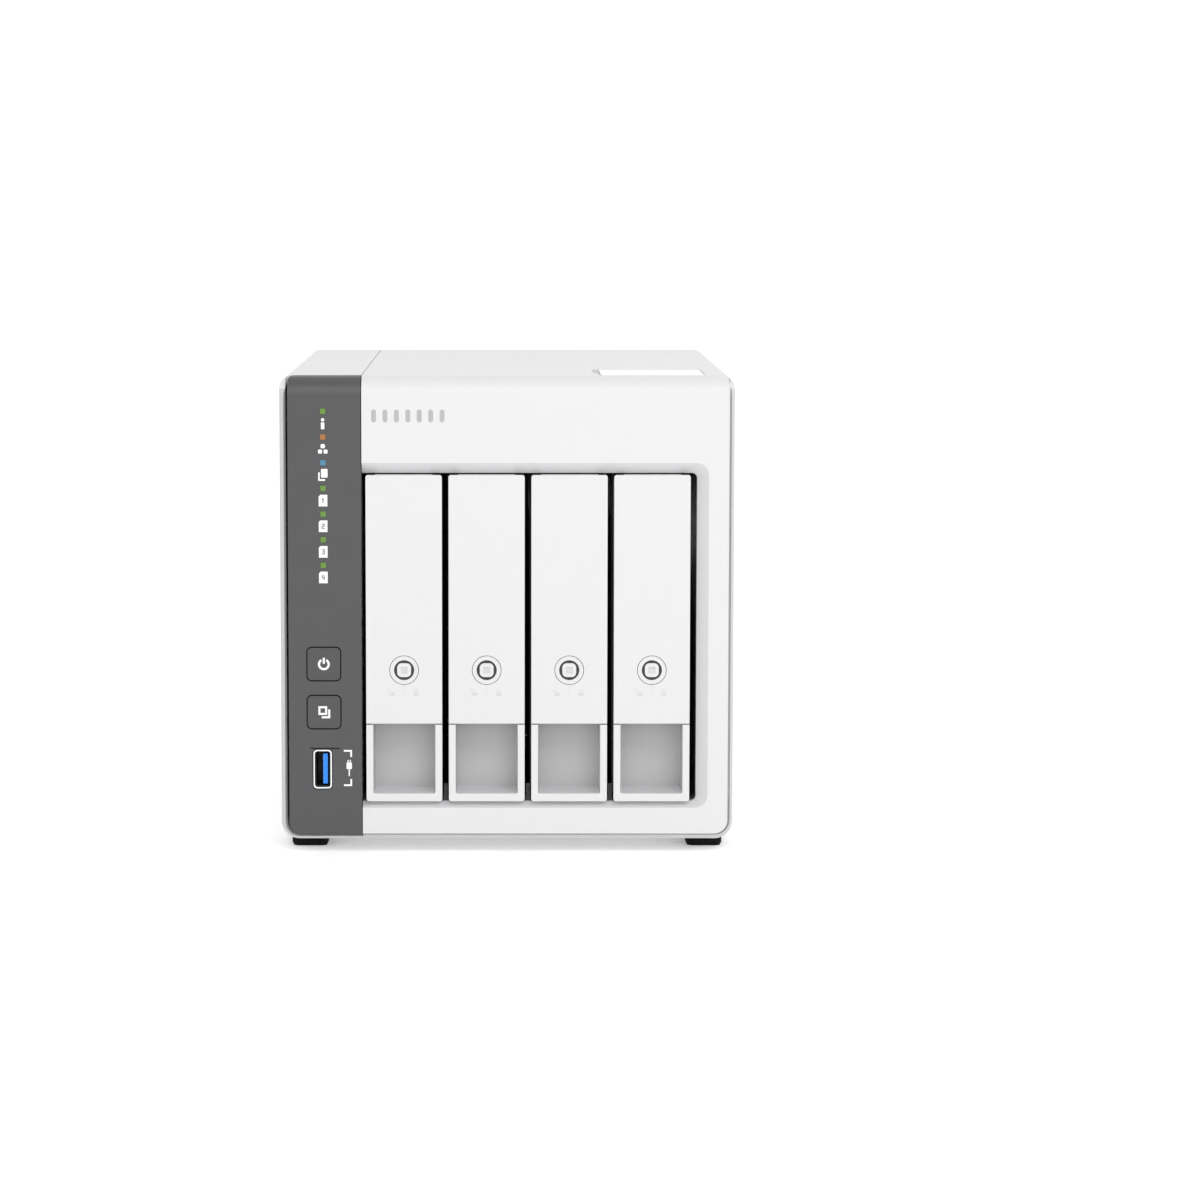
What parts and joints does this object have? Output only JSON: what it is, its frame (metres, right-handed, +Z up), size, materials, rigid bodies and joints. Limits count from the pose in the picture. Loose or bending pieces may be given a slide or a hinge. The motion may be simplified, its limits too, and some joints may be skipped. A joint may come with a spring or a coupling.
{
  "type": "nas enclosure",
  "caption": "Upright desktop network storage enclosure with a row of lockable pull-out drive trays, a dark control strip on the left, a rear fan and rubber feet.",
  "frame": {"origin": "centre of the footprint at floor level, under the rubber feet", "axes": "+X to the right seen from the front, +Y from the front to the back, +Z up"},
  "size_m": [0.16, 0.219, 0.169],
  "materials": {
    "white_plastic": "fine matt moulded white",
    "white_gloss": "smooth white inlay",
    "charcoal_plastic": "fine matt charcoal",
    "dark_plastic": "dark grey moulded trays",
    "black_plastic": "black moulded plastic",
    "blue_plastic": "blue contact carrier",
    "light_pipe": "clear light pipe lit by green, orange and blue lamps",
    "circuit_board": "green solder mask",
    "galvanised_steel": "pressed galvanised sheet",
    "plated_steel": "bright nickel plate",
    "screw_steel": "zinc plated screws",
    "bare_aluminium": "extruded, bare",
    "foot_rubber": "matt black rubber"
  },
  "bodies": {
    "chassis": {"left_cover": "white_plastic", "main_cover": "white_plastic", "right_cover": "white_plastic", "top_badge": "white_gloss", "control_panel": "charcoal_plastic", "light_pipe": "light_pipe", "front_usb_socket": "plated_steel", "front_usb_tongue": "blue_plastic", "panel_board": "circuit_board", "panel_ribbon": "black_plastic", "cage_bottom": "galvanised_steel", "cage_top": "galvanised_steel", "cage_left_wall": "galvanised_steel", "cage_right_wall": "galvanised_steel", "guide_rails_lower": "black_plastic", "guide_rails_upper": "black_plastic", "backplane_board": "circuit_board", "main_board": "circuit_board", "heat_sink": "bare_aluminium", "coin_cell": "plated_steel", "ethernet_socket_1": "plated_steel", "ethernet_socket_2": "plated_steel", "rear_usb_socket_1": "plated_steel", "rear_usb_socket_2": "plated_steel", "power_jack": "black_plastic", "fan_frame": "black_plastic", "fan_lead": "black_plastic", "fan_screw_1": "screw_steel", "fan_screw_2": "screw_steel", "fan_screw_3": "screw_steel", "fan_screw_4": "screw_steel", "rear_panel": "galvanised_steel", "cover_screw_1": "screw_steel", "cover_screw_2": "screw_steel", "cover_screw_3": "screw_steel", "cover_screw_4": "screw_steel", "foot_front_left": "foot_rubber", "foot_front_right": "foot_rubber", "foot_rear_left": "foot_rubber", "foot_rear_right": "foot_rubber"},
    "tray_1": {"tray_1_carrier": "dark_plastic", "tray_1_bezel": "white_plastic"},
    "handle_1": {"tray_1_handle": "white_plastic"},
    "lock_1": {"tray_1_lock": "white_plastic"},
    "tray_2": {"tray_2_carrier": "dark_plastic", "tray_2_bezel": "white_plastic"},
    "handle_2": {"tray_2_handle": "white_plastic"},
    "lock_2": {"tray_2_lock": "white_plastic"},
    "tray_3": {"tray_3_carrier": "dark_plastic", "tray_3_bezel": "white_plastic"},
    "handle_3": {"tray_3_handle": "white_plastic"},
    "lock_3": {"tray_3_lock": "white_plastic"},
    "tray_4": {"tray_4_carrier": "dark_plastic", "tray_4_bezel": "white_plastic"},
    "handle_4": {"tray_4_handle": "white_plastic"},
    "lock_4": {"tray_4_lock": "white_plastic"},
    "power_button": {"power_button": "charcoal_plastic"},
    "copy_button": {"copy_button": "charcoal_plastic"},
    "reset_button": {"reset_button": "black_plastic"},
    "fan_rotor": {"fan_rotor": "black_plastic"}
  },
  "joints": [
    {"name": "tray_slide_1", "type": "slide", "parent": "chassis", "child": "tray_1", "axis": [0, -1, 0], "range_m": [0, 0.16]},
    {"name": "handle_hinge_1", "type": "hinge", "parent": "tray_1", "child": "handle_1", "pos_m": [-0.0363, -0.1073, 0.1315], "axis": [-1, 0, 0], "range_deg": [0, 60]},
    {"name": "lock_turn_1", "type": "hinge", "parent": "handle_1", "child": "lock_1", "pos_m": [-0.0363, -0.1095, 0.0653], "axis": [0, -1, 0], "range_deg": [0, 90]},
    {"name": "tray_slide_2", "type": "slide", "parent": "chassis", "child": "tray_2", "axis": [0, -1, 0], "range_m": [0, 0.16]},
    {"name": "handle_hinge_2", "type": "hinge", "parent": "tray_2", "child": "handle_2", "pos_m": [-0.00717, -0.1073, 0.1315], "axis": [-1, 0, 0], "range_deg": [0, 60]},
    {"name": "lock_turn_2", "type": "hinge", "parent": "handle_2", "child": "lock_2", "pos_m": [-0.00717, -0.1095, 0.0653], "axis": [0, -1, 0], "range_deg": [0, 90]},
    {"name": "tray_slide_3", "type": "slide", "parent": "chassis", "child": "tray_3", "axis": [0, -1, 0], "range_m": [0, 0.16]},
    {"name": "handle_hinge_3", "type": "hinge", "parent": "tray_3", "child": "handle_3", "pos_m": [0.02196, -0.1073, 0.1315], "axis": [-1, 0, 0], "range_deg": [0, 60]},
    {"name": "lock_turn_3", "type": "hinge", "parent": "handle_3", "child": "lock_3", "pos_m": [0.02196, -0.1095, 0.0653], "axis": [0, -1, 0], "range_deg": [0, 90]},
    {"name": "tray_slide_4", "type": "slide", "parent": "chassis", "child": "tray_4", "axis": [0, -1, 0], "range_m": [0, 0.16]},
    {"name": "handle_hinge_4", "type": "hinge", "parent": "tray_4", "child": "handle_4", "pos_m": [0.05109, -0.1073, 0.1315], "axis": [-1, 0, 0], "range_deg": [0, 60]},
    {"name": "lock_turn_4", "type": "hinge", "parent": "handle_4", "child": "lock_4", "pos_m": [0.05109, -0.1095, 0.0653], "axis": [0, -1, 0], "range_deg": [0, 90]},
    {"name": "power_button_press", "type": "slide", "parent": "chassis", "child": "power_button", "axis": [0, 1, 0], "range_m": [0, 0.001], "stiffness_N_per_m": 600},
    {"name": "copy_button_press", "type": "slide", "parent": "chassis", "child": "copy_button", "axis": [0, 1, 0], "range_m": [0, 0.001], "stiffness_N_per_m": 600},
    {"name": "reset_button_press", "type": "slide", "parent": "chassis", "child": "reset_button", "axis": [0, -1, 0], "range_m": [0, 0.0005], "stiffness_N_per_m": 600},
    {"name": "fan_spin", "type": "hinge", "parent": "chassis", "child": "fan_rotor", "pos_m": [0.015, 0.0924, 0.077], "axis": [0, 1, 0], "continuous": true}
  ]
}
